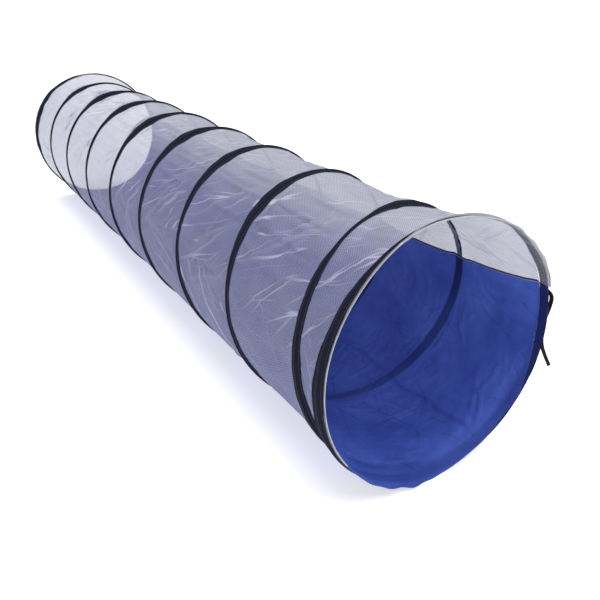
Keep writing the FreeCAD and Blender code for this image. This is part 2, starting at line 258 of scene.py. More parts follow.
class Shader:
    """A material's node tree, built with short calls. Sockets are passed as values."""

    def __init__(self, name):
        self.material = bpy.data.materials.new(name)
        self.material.use_nodes = True
        self.tree = self.material.node_tree
        self.tree.nodes.clear()
        self.output = self.tree.nodes.new("ShaderNodeOutputMaterial")

    def node(self, kind, sockets=None, **settings):
        made = self.tree.nodes.new("ShaderNode" + kind)
        for key, value in settings.items():
            setattr(made, key, value)
        for key, value in (sockets or {}).items():
            if isinstance(value, bpy.types.NodeSocket):
                self.tree.links.new(value, made.inputs[key])
            else:
                made.inputs[key].default_value = value
        return made

    def maths(self, operation, *values):
        return self.node("Math", dict(enumerate(values)), operation=operation).outputs[0]

    def plus(self, first, second):
        return self.maths("ADD", first, second)

    def minus(self, first, second):
        return self.maths("SUBTRACT", first, second)

    def times(self, first, second):
        return self.maths("MULTIPLY", first, second)

    def larger(self, first, second):
        return self.maths("MAXIMUM", first, second)

    def distance(self, value, place=0.0):
        """How far a number is from a place, either way."""
        return self.maths("ABSOLUTE", self.minus(value, place) if place else value)

    def clamp(self, value, high):
        return self.node("Clamp", {0: value, 1: 0.0, 2: high}).outputs[0]

    def mix(self, share, first, second):
        """Two colours, mixed by a number."""
        made = self.node("Mix", {0: share, 6: first, 7: second}, data_type="RGBA")
        return made.outputs[2]

    def scale(self, value, low, high, to_low=0.0, to_high=1.0):
        """A number taken smoothly from one range to another."""
        sockets = {0: value, 1: low, 2: high, 3: to_low, 4: to_high}
        return self.node("MapRange", sockets, interpolation_type="SMOOTHSTEP").outputs[0]

    def attribute(self, name):
        return self.node("Attribute", attribute_name=name).outputs["Fac"]

    def uv(self):
        """The two coordinates over the cloth, in metres."""
        vector = self.node("UVMap", uv_map="UVMap").outputs[0]
        split = self.node("SeparateXYZ", {0: vector})
        return vector, split.outputs[0], split.outputs[1]

    def noise(self, vector, size, detail=3.0, roughness=0.5, distortion=0.0):
        """Noise whose grains are about size metres across."""
        sockets = {"Vector": vector, "Scale": 1 / size, "Detail": detail,
                   "Roughness": roughness, "Distortion": distortion}
        return self.node("TexNoise", sockets).outputs[0]

    def stripes(self, value, step, share):
        """1 on threads that repeat every step metres, and cover that share of it."""
        phase = self.maths("FRACT", self.maths("DIVIDE", value, step))
        return self.scale(self.distance(phase, 0.5), share / 2 + 0.07, share / 2 - 0.07)

    def bump(self, height, distance, strength=1.0, normal=None):
        sockets = {"Height": height, "Distance": distance, "Strength": strength}
        if normal is not None:
            sockets["Normal"] = normal
        return self.node("Bump", sockets).outputs[0]

    def surface(self, shader):
        self.tree.links.new(shader, self.output.inputs["Surface"])
        return self.material

    def solid(self, sockets):
        """The finished material of something that lets no light through."""
        return self.surface(self.node("BsdfPrincipled", sockets).outputs[0])

    def thin_cloth(self, share, colour, relief, sockets):
        """The surface of a cloth that lets a share of the light through."""
        sockets = {"Base Color": colour, "Normal": relief, **sockets}
        front = self.node("BsdfPrincipled", sockets).outputs[0]
        through = self.node("BsdfTranslucent", {"Color": colour, "Normal": relief}).outputs[0]
        return self.node("MixShader", {0: share, 1: front, 2: through}).outputs[0]


# Length and width of the fine creases' pattern, and how far it bends, in metres.
STRAND_SIZE = (0.42, 0.034, 1)
STRAND_BEND = (0.03, 0.03, 0)


def strands(shader, vector, heading, place):
    """Fine straight creases in the cloth, all near one heading, in patches.

    Each place gives another pattern.
    """
    bends = shader.node("TexNoise", {"Vector": vector, "Scale": 5.0, "Detail": 0.0}).outputs[1]
    bent = shader.node("VectorMath", {0: bends, 1: STRAND_BEND}, operation="MULTIPLY").outputs[0]
    moved = shader.node("VectorMath", {0: vector, 1: bent}, operation="ADD").outputs[0]
    sockets = {"Vector": moved, "Location": (place, 0.3 * place, 0),
               "Rotation": (0, 0, math.radians(heading)), "Scale": STRAND_SIZE}
    laid = shader.node("Mapping", sockets, vector_type="TEXTURE").outputs[0]
    waves = shader.noise(laid, 1.0, 1.5, 0.4, 0.05)
    lines = shader.scale(shader.distance(waves, 0.5), 0.024, 0.002)
    return shader.times(lines, shader.scale(shader.noise(laid, 0.75, 1.0), 0.48, 0.70))


NET_CELL = 0.0042
NET_THREAD_SHARE = 0.42
NET_SLANT = 0.62


def net_material(name, coverage, yarn_low, yarn_high):
    """Fine netting: threads in two directions with open cells, denser where it is creased, with
    painted highlights on its creases and over the top of the tunnel.
    """
    shader = Shader(name)
    vector, across, along = shader.uv()
    wavy = shader.plus(across, shader.times(shader.noise(vector, 0.012, 1.0), 0.0016))
    slanted = shader.times(along, NET_SLANT)
    threads = shader.larger(
        shader.stripes(shader.plus(wavy, slanted), NET_CELL, NET_THREAD_SHARE),
        shader.stripes(shader.minus(wavy, slanted), NET_CELL, NET_THREAD_SHARE),
    )
    # Creases climb towards the front on the flanks, and fall towards it low down.
    flank = shader.scale(across, cloth_distance(88), cloth_distance(118))
    climbing = shader.times(strands(shader, vector, -42, 1.7), flank)
    steep = shader.times(strands(shader, vector, -66, 5.1), flank)
    falling = shader.times(strands(shader, vector, 38, 3.3), shader.minus(1.0, flank))
    fine = shader.larger(shader.larger(climbing, steep), falling)
    crease = shader.larger(shader.attribute("crease"), fine)
    # The top of the tunnel is painted paler, and drawn a little denser: a painted highlight where
    # the light from above falls on it.
    rising = shader.scale(across, cloth_distance(132), cloth_distance(170))
    setting = shader.scale(across, cloth_distance(236), cloth_distance(202))
    crown_highlight = shader.times(rising, setting)
    patches = shader.noise(vector, 0.09, 4.0, 0.6)
    even = shader.plus(coverage - 0.07, shader.times(patches, 0.14))
    even = shader.plus(even, shader.times(crown_highlight, 0.06))
    holes = shader.times(shader.minus(threads, 0.66), 0.42)
    thick = shader.plus(shader.plus(even, holes), shader.times(crease, 0.2))
    shaded = shader.mix(patches, yarn_low, yarn_high)
    plain = shader.mix(shader.times(crown_highlight, 0.6), shaded, (0.50, 0.50, 0.56, 1))
    # Along the creases the net is drawn denser, where it lies doubled, and its yarn is painted
    # paler: a painted highlight on the folds.
    colour = shader.mix(shader.times(crease, 0.56), plain, (0.62, 0.63, 0.76, 1))
    relief = shader.bump(threads, 0.0004, 0.5, shader.bump(fine, 0.0015, 0.5))
    yarn = shader.thin_cloth(0.04, colour, relief, {"Roughness": 0.6, "Specular IOR Level": 0.2})
    clear = shader.node("BsdfTransparent").outputs[0]
    sockets = {0: shader.clamp(thick, 1.0), 1: clear, 2: yarn}
    return shader.surface(shader.node("MixShader", sockets).outputs[0])


def nylon_material():
    """Thin woven nylon, crumpled from being packed, with painted shade in its creases. It is
    painted darker where a casing is behind it: the dark tape showing through, and painted shade
    where the tape keeps out the light that shines through the cloth.

    Its attribute from_casing is in metres, negative over a casing. band is how strong that painted
    shade is.
    """
    shader = Shader("nylon")
    vector, across, along = shader.uv()
    # The casings' bands: the tape showing through the nylon, and its painted shade.
    from_casing = shader.attribute("from_casing")
    over = shader.scale(from_casing, 0.0008, -0.0008)
    stitched = shader.scale(shader.distance(from_casing), 0.0018, 0.0004)
    shade = shader.plus(shader.times(over, 0.72), shader.times(stitched, 0.3))
    band = shader.clamp(shader.times(shade, shader.attribute("band")), 0.86)
    fine = shader.larger(strands(shader, vector, -63, 2.3), strands(shader, vector, 74, 7.9))
    fine = shader.scale(fine, 0.12, 1.0, 0.0, 0.6)
    crease = shader.larger(shader.attribute("crease"), fine)
    patches = shader.noise(vector, 0.16, 5.0, 0.6)
    spread = shader.scale(patches, 0.2, 0.8)
    plain = shader.mix(spread, (0.030, 0.054, 0.30, 1), (0.066, 0.114, 0.46, 1))
    # Along the creases the nylon is painted darker: painted shade in its folds.
    crease_shaded = shader.mix(shader.times(crease, 0.30), plain, (0.008, 0.014, 0.17, 1))
    colour = shader.mix(band, crease_shaded, (0.006, 0.007, 0.05, 1))
    ridge = shader.distance(shader.noise(vector, 1 / 15, 4.0, 0.5, 0.3), 0.5)
    creased = shader.bump(fine, 0.004, 0.6, shader.bump(ridge, 0.010, 0.55))
    weave = shader.plus(shader.stripes(across, 0.0009, 0.5), shader.stripes(along, 0.0009, 0.5))
    relief = shader.bump(weave, 0.00008, 0.35, creased)
    return shader.surface(shader.thin_cloth(0.22, colour, relief, {
        "Roughness": shader.scale(patches, 0.3, 0.7, 0.5, 0.62),
        "Specular IOR Level": 0.22,
        "Specular Tint": (0.6, 0.7, 1.0, 1),
        "Sheen Weight": 0.08,
        "Sheen Roughness": 0.35,
        "Sheen Tint": (0.35, 0.45, 1.0, 1),
    }))


def tape_material(name, dark, light, stitch_line):
    """Woven tape: a fine rib across it, and a row of stitches along each edge."""
    shader = Shader(name)
    vector, along, across = shader.uv()
    patches = shader.noise(vector, 0.03, 4.0, 0.6)
    rib = shader.stripes(shader.plus(along, across), 0.0012, 0.5)
    from_line = shader.distance(shader.distance(across), stitch_line)
    stitches = shader.times(
        shader.scale(from_line, 0.0009, 0.0004), shader.stripes(along, 0.0042, 0.68)
    )
    thread = tuple(0.02 + 1.6 * part for part in light[:3]) + (1,)
    height = shader.plus(shader.times(rib, 0.35), stitches)
    return shader.solid({
        "Base Color": shader.mix(stitches, shader.mix(patches, dark, light), thread),
        "Roughness": shader.scale(patches, 0.3, 0.7, 0.75, 0.92),
        "Specular IOR Level": 0.1,
        "Normal": shader.bump(height, 0.0004, 0.7),
    })


def seam_material():
    """Stitched seam: a navy tape with the net's pale turned edge along one side."""
    shader = Shader("seam")
    vector, along, across = shader.uv()
    pale_side = shader.scale(across, 0.0006, 0.0016)
    thread = shader.stripes(shader.plus(along, shader.times(across, 0.7)), 0.0035, 0.5)
    patches = shader.noise(vector, 0.02, 3.0)
    navy = shader.mix(patches, (0.012, 0.014, 0.07, 1), (0.03, 0.034, 0.13, 1))
    pale = shader.mix(thread, (0.13, 0.14, 0.28, 1), (0.27, 0.28, 0.40, 1))
    return shader.solid({
        "Base Color": shader.mix(pale_side, navy, pale),
        "Roughness": shader.scale(patches, 0.3, 0.7, 0.5, 0.7),
        "Normal": shader.bump(thread, 0.0004, 0.6),
    })


def trim_material():
    """White overlocked edge: close slanting threads."""
    shader = Shader("edge_thread")
    vector, along, across = shader.uv()
    thread = shader.stripes(shader.plus(along, shader.times(across, 0.6)), 0.0022, 0.6)
    patches = shader.noise(vector, 0.03, 4.0)
    dull = shader.mix(patches, (0.24, 0.24, 0.27, 1), (0.36, 0.36, 0.39, 1))
    return shader.solid({
        "Base Color": shader.mix(thread, dull, (0.58, 0.58, 0.61, 1)),
        "Roughness": shader.scale(patches, 0.3, 0.7, 0.6, 0.8),
        "Sheen Weight": 0.2,
        "Normal": shader.bump(thread, 0.0005, 0.8),
    })


def steel_material():
    """Drawn spring steel, with fine streaks."""
    shader = Shader("spring_steel")
    place = shader.node("TexCoord").outputs["Object"]
    streaks = shader.noise(place, 1 / 900, 2.0)
    return shader.solid({
        "Base Color": shader.mix(streaks, (0.4, 0.4, 0.41, 1), (0.62, 0.62, 0.63, 1)),
        "Metallic": 1.0,
        "Roughness": shader.scale(streaks, 0.3, 0.7, 0.22, 0.42),
        "Normal": shader.bump(streaks, 0.0001, 0.4),
    })


# How far the stitches are from the middle of a tape.
CASING_STITCHES = 0.0082
TIE_STITCHES = 0.0038

NET = net_material("net", 0.73, (0.180, 0.190, 0.318, 1), (0.248, 0.260, 0.395, 1))
HEM_NET = net_material("net_hem", 0.62, (0.24, 0.24, 0.27, 1), (0.34, 0.34, 0.37, 1))
NYLON = nylon_material()
CASING = tape_material(
    "casing_tape", (0.005, 0.006, 0.014, 1), (0.013, 0.015, 0.030, 1), CASING_STITCHES
)
TIE = tape_material(
    "tie_tape", (0.006, 0.006, 0.008, 1), (0.014, 0.014, 0.018, 1), TIE_STITCHES
)
SEAM = seam_material()
TRIM = trim_material()
STEEL = steel_material()


# -------------------- the tie tape

# Its route, as (right of the axis, behind the front edge, above the floor).
TIE_ROUTE = [
    (0.2923, 0.0210, 0.3915),
    (0.3070, 0.0170, 0.3830),
    (0.3165, 0.0120, 0.3660),
    (0.3150, 0.0140, 0.3400),
    (0.3095, 0.0190, 0.3050),
    (0.3110, 0.0200, 0.2650),
    (0.3180, 0.0160, 0.2280),
    (0.3375, 0.0040, 0.1860),
]
TIE_WIDTH = 0.010
TIE_THICKNESS = 0.0012
TIE_SIDES = 16


def spline_line(points, resolution):
    """Points along the smooth NURBS spline that has these control points."""
    curve = bpy.data.curves.new("route", "CURVE")
    curve.dimensions = "3D"
    spline = curve.splines.new("NURBS")
    spline.points.add(len(points) - 1)
    for control, place in zip(spline.points, points):
        control.co = (*place, 1)
    spline.order_u = 3
    spline.use_endpoint_u = True
    spline.resolution_u = resolution
    carrier = bpy.data.objects.new("route", curve)
    mesh = bpy.data.meshes.new_from_object(carrier)
    line = np.array([vertex.co for vertex in mesh.vertices])
    bpy.data.objects.remove(carrier)
    bpy.data.meshes.remove(mesh)
    bpy.data.curves.remove(curve)
    return line


def make_tie():
    """A flat tape that lies along the route, with rounded edges."""
    line = spline_line([(right, FRONT + behind, height) for right, behind, height in TIE_ROUTE], 10)
    run = np.gradient(line, axis=0)
    run /= np.linalg.norm(run, axis=1, keepdims=True)
    across = np.array([0.0, 1.0, 0.0])
    out = np.cross(run, across)
    walked = np.append(0, np.cumsum(np.linalg.norm(np.diff(line, axis=0), axis=1)))
    share = walked / walked[-1]
    twist = np.radians(9 * np.sin(share * 5.0) - 30 - 45 * smoothstep(0.5, 0.86, share))
    points = []
    sides = []
    for turn in around(TIE_SIDES):
        side = TIE_WIDTH / 2 * math.copysign(abs(math.cos(turn)) ** 0.5, math.cos(turn))
        face = TIE_THICKNESS / 2 * math.copysign(abs(math.sin(turn)) ** 0.7, math.sin(turn))
        turned_side = side * np.cos(twist) - face * np.sin(twist)
        turned_face = side * np.sin(twist) + face * np.cos(twist)
        points.append(line + across * turned_side[:, None] + out * turned_face[:, None])
        sides.append(side)
    points = np.stack(points, 1)
    tie = grid_mesh("tie_strip", points, tube_uvs(walked, sides), wrap_columns=True, caps=True)
    paint(tie, TIE)
    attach(tie, "front_end")
    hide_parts("tie_tape")


make_tie()


# -------------------- the fabric tube


def fabric_grid():
    """Angles of the columns and places of the rows.

    Columns start at the right seam and go under the floor, so that both seams are columns.
    """
    floor = np.linspace(*FLOOR_ANGLES, FLOOR_CELLS + 1)[:-1]
    net = np.linspace(*NET_ANGLES, NET_CELLS + 1)[:-1]
    stations = [FRONT + HEM]
    stations += [helix_place(number) for number in range(1, TURNS)]
    stations.append(REAR - HEM)
    rows = [stations[0]]
    for start, end in zip(stations, stations[1:]):
        rows += list(np.linspace(start, end, SPAN_CELLS + 1)[1:])
    return np.concatenate([floor, net]), np.array(rows)


def behind_turn(angles, rows):
    """How far behind the nearest wire of the helix each point is, and the turns made there."""
    turned = (angles % 360) / 360
    phase = (rows - HELIX_START) / PITCH - turned
    nearest = np.clip(np.round(phase), 0, TURNS - 1)
    return (phase - nearest) * PITCH, nearest + turned


def from_turn(angles, rows):
    """How far each point is from the helix, along the tunnel."""
    return np.abs(behind_turn(angles, rows)[0])


def rest_shape(angles, rows):
    """Radius and axis height of the fabric: it narrows from each end ring to the nearest turn."""
    turned = (angles % 360) / 360
    first = helix_place(np.maximum(turned, 0.02))
    last = helix_place(TURNS - 1 + np.minimum(turned, 0.98))
    front, rear = FRONT + HEM, REAR - HEM
    from_front = np.clip((rows - front) / (first - front), 0, 1)
    from_rear = np.clip((rear - rows) / (rear - last), 0, 1)
    share = np.minimum(from_front, from_rear)
    radius = RING_FABRIC + (TURN_FABRIC - RING_FABRIC) * share
    height = RING_HEIGHT + (TURN_HEIGHT - RING_HEIGHT) * share
    return radius, height


# How far the tape is turned about its wire, in degrees, so that its front edge leans inwards.
# Each swelling is (middle and spread as angles round the tunnel, degrees of lean).
FIRST_TURN_LEAN = ((68, 32, 22), (153, 15, -28), (191, 16, 20), (245, 25, 10), (300, 22, -8))
TURN_LEAN = ((55, 20, 14), (98, 15, -14), (156, 17, 36), (240, 28, 12), (300, 24, -10))
RING_LEAN = {
    "front": ((82, 36, 15), (160, 24, -36), (235, 30, 10)),
    "rear": ((118, 34, 24), (230, 30, 8)),
}
LEAN_INSIDE = 0.013
LEAN_OUTSIDE = 0.042
RING_MIDDLE = LIP + 0.0005 + TAPE_WIDTH / 2


def swellings(angles, peaks):
    """The lean at each angle, from all the swellings together."""
    return sum(
        lean * np.exp(-(((angles - middle) / spread) ** 2)) for middle, spread, lean in peaks
    )


def turn_lean(turns):
    """The lean along the whole helix. Turns after the first differ a little from each other."""
    angles = (turns % 1) * 360
    number = np.floor(turns)
    lean = np.where(number < 1, swellings(angles, FIRST_TURN_LEAN), 0)
    random = np.random.default_rng(SEED + 9)
    for other in range(1, TURNS + 1):
        peaks = [
            (middle + random.uniform(-9, 9), spread, size * random.uniform(0.7, 1.15))
            for middle, spread, size in TURN_LEAN
        ]
        lean = lean + np.where(number == other, swellings(angles, peaks), 0)
    return lean


def leaning(behind_wire, lean):
    """How far outwards the cloth is carried by a leaning tape, at a distance behind its wire."""
    near = 1 - smoothstep(LEAN_INSIDE, LEAN_OUTSIDE, np.abs(behind_wire))
    return np.tan(np.radians(lean)) * behind_wire * near


def leaning_cloth(angles, rows):
    """How far outwards the tapes' lean carries the cloth, over its whole grid."""
    behind, turns = behind_turn(angles, rows)
    carried = leaning(behind, turn_lean(turns))
    for name, wire in (("front", FRONT + RING_MIDDLE), ("rear", REAR - RING_MIDDLE)):
        carried = carried + leaning(rows - wire, swellings(angles % 360, RING_LEAN[name]))
    return carried


# The tape is folded loosely, so it spreads a little wider than its hard core.
TAPE_SPREAD = 1.3
RING_TAPE_SPREAD = {"front": 1.5, "rear": 1.35}

# Spare cloth round the tunnel between two turns, as a share of its size.
NET_SLACK = 1.012
NYLON_SLACK = 1.022
PINNED_NEAR_TURN = 0.0085
CLOTH_FRAMES = 25
CLOTH_SETTINGS = {
    "quality": 5,
    "mass": 0.08,
    "tension_stiffness": 20,
    "compression_stiffness": 10,
    "shear_stiffness": 4,
    "bending_stiffness": 0.15,
    "air_damping": 2,
}


def simulated(start, loose, pinned):
    """The cloth's points after it has sagged. It was cut to loose, and hangs from its pins."""
    rows, columns = pinned.shape
    cloth = grid_mesh("cloth", start, np.zeros((rows, columns + 1, 2)), wrap_columns=True)
    group = cloth.vertex_groups.new(name="held")
    group.add(np.flatnonzero(pinned.ravel()).tolist(), 1.0, "REPLACE")
    cloth.shape_key_add(name="start")
    cut = cloth.shape_key_add(name="cut")
    cut.data.foreach_set("co", loose.astype(np.float32).ravel())
    modifier = cloth.modifiers.new("cloth", "CLOTH")
    modifier.settings.vertex_group_mass = "held"
    modifier.settings.rest_shape_key = cut
    for name, value in CLOTH_SETTINGS.items():
        setattr(modifier.settings, name, value)
    modifier.collision_settings.use_collision = False
    modifier.collision_settings.use_self_collision = False
    modifier.point_cache.frame_start = 1
    modifier.point_cache.frame_end = CLOTH_FRAMES
    for number in range(1, CLOTH_FRAMES + 1):
        bpy.context.scene.frame_set(number)
    settled = cloth.evaluated_get(bpy.context.evaluated_depsgraph_get())
    points = np.zeros(start.size, np.float32)
    settled.data.vertices.foreach_get("co", points)
    mesh = cloth.data
    bpy.data.objects.remove(cloth)
    bpy.data.meshes.remove(mesh)
    bpy.context.scene.frame_set(1)
    return points.reshape(start.shape).astype(float)


def hang_cloth(angles, rows):
    """The tube of cloth, held by its rings and turns, after it has sagged under its weight."""
    radius, height = rest_shape(angles, rows)
    away = from_turn(angles, rows)
    pinned = away < PINNED_NEAR_TURN
    pinned[0] = pinned[-1] = True
    ripple = np.where(pinned, 0, 0.0008 * cloth_noise(radius.shape, 0.7, 0.7, SEED))
    start = round_point(angles, rows, radius + ripple, height)
    slack = np.where(angles >= LEFT_SEAM, NET_SLACK, NYLON_SLACK)
    return simulated(start, round_point(angles, rows, radius * slack, height), pinned)


def refined(values, factor, axis, closed):
    """A grid of values with each cell split smoothly in factor parts along one axis."""
    values = np.moveaxis(values, axis, 0)
    count = len(values)
    cells = count if closed else count - 1

    def line(shift):
        index = np.arange(cells) + shift
        return values[index % count if closed else np.clip(index, 0, count - 1)]

    before, here, after, beyond = (line(shift) for shift in (-1, 0, 1, 2))
    parts = []
    for step in range(factor):
        share = step / factor
        curve = here + 0.5 * share * (
            after - before
            + share * (2 * before - 5 * here + 4 * after - beyond
                       + share * (3 * (here - after) + beyond - before))
        )
        parts.append(curve)
    fine = np.stack(parts, 1).reshape(cells * factor, *values.shape[1:])
    if not closed:
        fine = np.concatenate([fine, values[-1:]])
    return np.moveaxis(fine, 0, axis)


class Crease:
    """One crease in the cloth, from a start as (round, along) in metres, at a slant in radians."""

    def __init__(self, start, slant, length, tall, width, sharp, bow):
        self.start = start
        self.length = length
        self.run = (math.sin(slant), math.cos(slant))
        self.tall = tall
        self.width = width
        self.sharp = sharp
        self.bow = bow

    def press(self, round_way, along, height, sharp):
        """Add the crease to the cloth's height and sharpness, only on the rows that it crosses."""
        margin = 5 * self.width + abs(self.bow) * self.length
        ends = (self.start[1], self.start[1] + self.run[1] * self.length)
        rows = slice(*np.searchsorted(along[:, 0], (min(ends) - margin, max(ends) + margin)))
        across = round_way[rows] - self.start[0]
        ahead = along[rows] - self.start[1]
        walked = (across * self.run[0] + ahead * self.run[1]) / self.length
        bowed = self.bow * self.length * 4 * walked * (1 - walked)
        aside = (across * self.run[1] - ahead * self.run[0] - bowed) / self.width
        taper = np.clip(4 * walked * (1 - walked), 0, 1) ** 0.6
        height[rows] += self.tall * taper * (
            np.exp(-(aside**2)) - 0.55 * np.exp(-(((aside - 1.7) / 1.3) ** 2))
        )
        line = self.sharp * taper * np.exp(-((aside / 0.7) ** 2))
        sharp[rows] = np.maximum(sharp[rows], line)


NET_BUNDLES = 7


def net_creases(random):
    """Bundles of creases that fan out from places on a turn: they climb towards the front."""
    creases = []
    for turn in range(-1, TURNS):
        for _ in range(NET_BUNDLES):
            angle = random.uniform(LEFT_SEAM + 8, RIGHT_SEAM + 350)
            station = helix_place(turn + angle / 360 + random.uniform(0.05, 0.25))
            if angle < 190:
                heading = -60 * math.tanh((angle - 95) / 45)
            else:
                heading = random.uniform(-40, 60)
            for _ in range(random.integers(3, 6)):
                slant = math.radians(heading + random.uniform(-20, 20))
                length = PITCH * random.uniform(0.35, 0.9)
                start = (
                    cloth_distance(angle) + random.uniform(-0.02, 0.02),
                    station + random.uniform(-0.02, 0.03),
                )
                size = random.uniform(0.35, 1.0)
                width = random.uniform(0.0055, 0.0092)
                bow = random.uniform(-0.03, 0.03)
                creases.append(
                    Crease(start, slant, length, 0.0028 * size, width, 0.30 * size**1.5, bow)
                )
    return creases


NYLON_PATCHES = 34


def nylon_creases(random):
    """Short hard creases at all slants, in patches."""
    creases = []
    for _ in range(NYLON_PATCHES * TURNS):
        angle = random.uniform(RIGHT_SEAM + 6, LEFT_SEAM - 6)
        station = random.uniform(FRONT + HEM, REAR - HEM)
        slant = math.radians(90 + random.normal() * 32)
        for _ in range(random.integers(1, 4)):
            length = random.uniform(0.03, 0.13)
            start = (
                cloth_distance(angle) + random.uniform(-0.03, 0.03),
                station + random.uniform(-0.03, 0.03),
            )
            turned = slant + random.uniform(-0.35, 0.35)
            size = random.uniform(0.4, 1.0)
            width = random.uniform(0.0045, 0.0075)
            bow = random.uniform(-0.12, 0.12)
            creases.append(Crease(start, turned, length, -0.0034 * size, width, 0.7 * size, bow))
    return creases


def pressed(creases, round_way, along):
    """Height and sharpness of the cloth with these creases pressed in."""
    height = np.zeros(along.shape)
    sharp = np.zeros(along.shape)
    for crease in creases:
        crease.press(round_way, along, height, sharp)
    return height, sharp


# How far from a wire its tape holds the cloth flat.
HELD_BY_TAPE = 0.0145


def folded_cloth(points, angles, rows):
    """The hung cloth with its creases and crumples pressed in, and where they are sharp."""
    shape = angles.shape
    round_way = cloth_distance(angles)
    away = from_turn(angles, rows)
    is_net = (angles > LEFT_SEAM) * (angles < RIGHT_SEAM + 360)
    random = np.random.default_rng(SEED + 1)
    net_height, net_sharp = pressed(net_creases(random), round_way, rows)
    gathers = cloth_noise(shape, 0.12, 0.020, SEED + 2) * np.exp(-away / 0.03) * 0.0010
    ripples = cloth_noise(shape, 0.20, 0.06, SEED + 3) * 0.0012
    net_height = net_height + gathers + ripples

    from_middle = cloth_distance(angles - (RIGHT_SEAM + LEFT_SEAM) / 2)
    wave = 0.004 * np.sin(rows * 19.0) + 0.003 * np.sin(rows * 43.0 + 1.0)
    long_crease = np.exp(-(((from_middle + wave) / 0.006) ** 2))
    nylon_height, nylon_sharp = pressed(nylon_creases(random), round_way, rows)
    large = cloth_noise(shape, 0.20, 0.16, SEED + 4)
    middling = cloth_noise(shape, 0.055, 0.085, SEED + 5)
    small = cloth_noise(shape, 0.022, 0.050, SEED + 6)
    patchy = smoothstep(-0.6, 1.2, cloth_noise(shape, 0.3, 0.25, SEED + 7))
    crumple = 0.0022 * large - 0.0020 * np.abs(middling) - 0.0008 * np.abs(small)
    nylon_height = nylon_height + crumple * (0.4 + 0.6 * patchy) - 0.003 * long_crease
    nylon_sharp = np.maximum(nylon_sharp, long_crease)

    # The creases fade out at the seams, at both ends and where the tapes hold the cloth.
    height = np.where(is_net, net_height, nylon_height)
    sharp = np.where(is_net, net_sharp, nylon_sharp)
    seams = (LEFT_SEAM, RIGHT_SEAM, RIGHT_SEAM + 360)
    to_seam = cloth_distance(np.min([np.abs(angles - seam) for seam in seams], axis=0))
    height = height * smoothstep(0, 0.03, to_seam)
    sharp = sharp * smoothstep(0, 0.015, to_seam)
    near_end = np.minimum(rows - rows.min(), rows.max() - rows)
    height = height * smoothstep(0, 0.03, near_end)
    held = 1 - smoothstep(HELD_BY_TAPE, 0.032, away)
    height = np.where(height > 0, height * (1 - held), height * (1 - 0.6 * held))
    height = height + leaning_cloth(angles, rows)
    radius, axis = rest_shape(angles, rows)
    sewn = 1 - smoothstep(HELD_BY_TAPE, 0.030, away)[..., None]
    points = points * (1 - sewn) + round_point(angles, rows, radius, axis) * sewn
    return on_floor(points + grid_normals(points) * height[..., None]), sharp


def wrapped(values):
    """The same grid with its first column again at the end."""
    return np.concatenate([values, values[:, :1]], 1)


def casing_shade(angles):
    """How dark the casings are painted on the nylon, as the tape showing through and its painted
    shade: faint at the bottom left.
    """
    right = 1 - smoothstep(-108, -72, angles)
    return 0.16 + 0.30 * (1 - smoothstep(-75, -20, angles)) + 0.50 * right


SEAM_WIDTH = 0.008
SEAM_LIFT = 0.0006
SEAM_BULGE = 0.0004
SEAM_COLUMNS = 5


class Fabric:
    """The finished tube of cloth as one fine grid, from which each panel is cut."""

    def __init__(self):
        columns, rows = fabric_grid()
        points = hang_cloth(*np.meshgrid(columns, rows))
        for axis, closed in ((0, False), (1, True)):
            points = refined(points, REFINE, axis, closed)
        fine_rows = refined(rows, REFINE, 0, False)
        opened = np.append(columns, columns[0] + 360)
        fine_columns = refined(opened, REFINE, 0, False)[:-1]
        angles, places = np.meshgrid(fine_columns, fine_rows)
        points, sharp = folded_cloth(points, angles, places)
        self.points = wrapped(points)
        self.normals = wrapped(grid_normals(points))
        self.sharp = wrapped(sharp)
        self.angles = wrapped(angles)
        self.angles[:, -1] += 360
        self.rows = wrapped(places)
        self.left_column = FLOOR_CELLS * REFINE
        self.last_column = (FLOOR_CELLS + NET_CELLS) * REFINE

    def span(self, number):
        """The rows of one span. Spans are counted from the front."""
        return slice((number - 1) * SPAN_CELLS * REFINE, number * SPAN_CELLS * REFINE + 1)

    def panel(self, name, number, columns):
        """The net or the nylon of one span."""
        cut = (self.span(number), columns)
        angles = self.angles[cut]
        rows = self.rows[cut]
        faint = smoothstep(helix_place(0.1), helix_place(0.2), rows)
        # The casing's painted shade on the nylon narrows from the bottom right towards the left.
        half_width = TAPE_SPREAD * TAPE_WIDTH / 2 * (1 - 0.55 * smoothstep(-50, 30, angles))
        values = {
            "crease": self.sharp[cut],
            "band": casing_shade(angles) * np.where(angles > 0, 0.25 + 0.75 * faint, 1),
            "from_casing": from_turn(angles, rows) - half_width,
        }
        uvs = np.stack([cloth_distance(angles), rows], -1)
        return grid_mesh(name, self.points[cut], uvs, normals=self.normals[cut], values=values)

    def seam(self, name, number, column):
        """A narrow strip along a column, just inside the cloth."""
        rows = self.span(number)
        middle = self.points[rows, column]
        normal = self.normals[rows, column]
        places = np.linspace(-1, 1, SEAM_COLUMNS)
        points = []
        for place in places:
            beside = (column + (-1 if place < 0 else 1)) % self.last_column
            side = self.points[rows, beside] - middle
            unit = side / np.linalg.norm(side, axis=1, keepdims=True)
            lift = SEAM_LIFT + SEAM_BULGE * (1 - place**2)
            points.append(middle + unit * abs(place) * SEAM_WIDTH / 2 - normal * lift)
        uvs = uv_grid(self.rows[rows, column][:, None], places * SEAM_WIDTH / 2)
        return grid_mesh(name, on_floor(np.stack(points, 1)), uvs)


def span_body(number):
    return "front_end" if number == 1 else f"span_{number}"


def turn_limits(number):
    """Where a turn of the helix starts and ends along the tunnel."""
    return helix_place(number - 1), helix_place(number)


def panel_limits(number):
    """Where a span's cloth starts and ends: the first and last also reach to the hems."""
    start, end = turn_limits(number)
    return FRONT + HEM if number == 1 else start, REAR - HEM if number == TURNS else end


def squash_span(piece, number, limits):
    """A span's piece, attached to its span's body, with a mesh of its own."""
    start, end = limits(number)
    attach(piece, span_body(number))
    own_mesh(piece)


